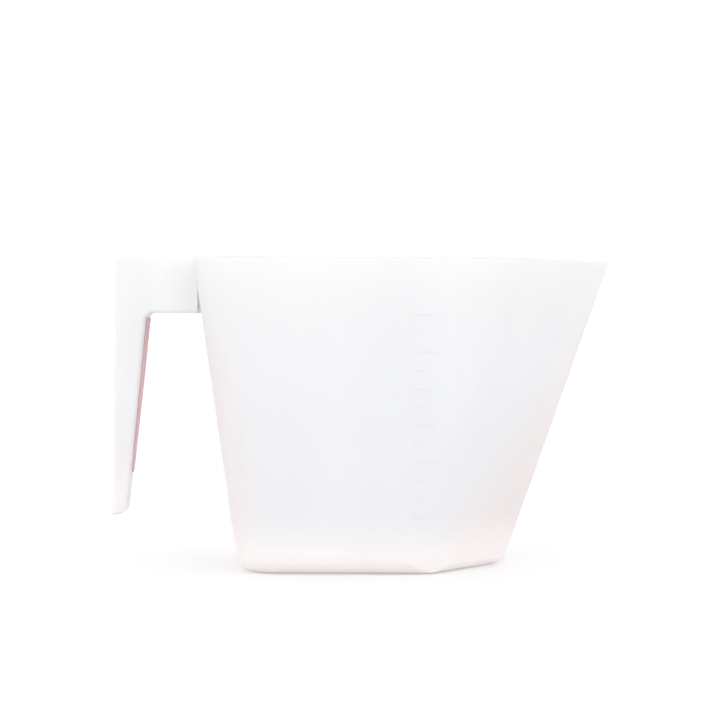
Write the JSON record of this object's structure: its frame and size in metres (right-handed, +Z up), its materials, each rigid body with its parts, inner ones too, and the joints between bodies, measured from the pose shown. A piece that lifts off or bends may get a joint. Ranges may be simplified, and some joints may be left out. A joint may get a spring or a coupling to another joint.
{
  "type": "hair color bowl",
  "caption": "Translucent mixing bowl with a flat back, pointed pouring prow and an open hook handle with a soft grip insert.",
  "frame": {"origin": "on the surface that the bowl stands on, in the middle of its overall length and width", "axes": "+X to the pouring prow, -X to the handle, +Z up; the bowl is the same on both sides of the plane Y = 0"},
  "size_m": [0.165, 0.0998, 0.1018],
  "materials": {
    "bowl_plastic": "translucent frosted moulding, soft satin",
    "handle_plastic": "milky satin moulding",
    "insert_rubber": "dusty pink soft-touch, matt"
  },
  "bodies": {
    "root": {"bowl_shell": "bowl_plastic", "handle": "handle_plastic", "grip_insert": "insert_rubber"}
  },
  "joints": []
}
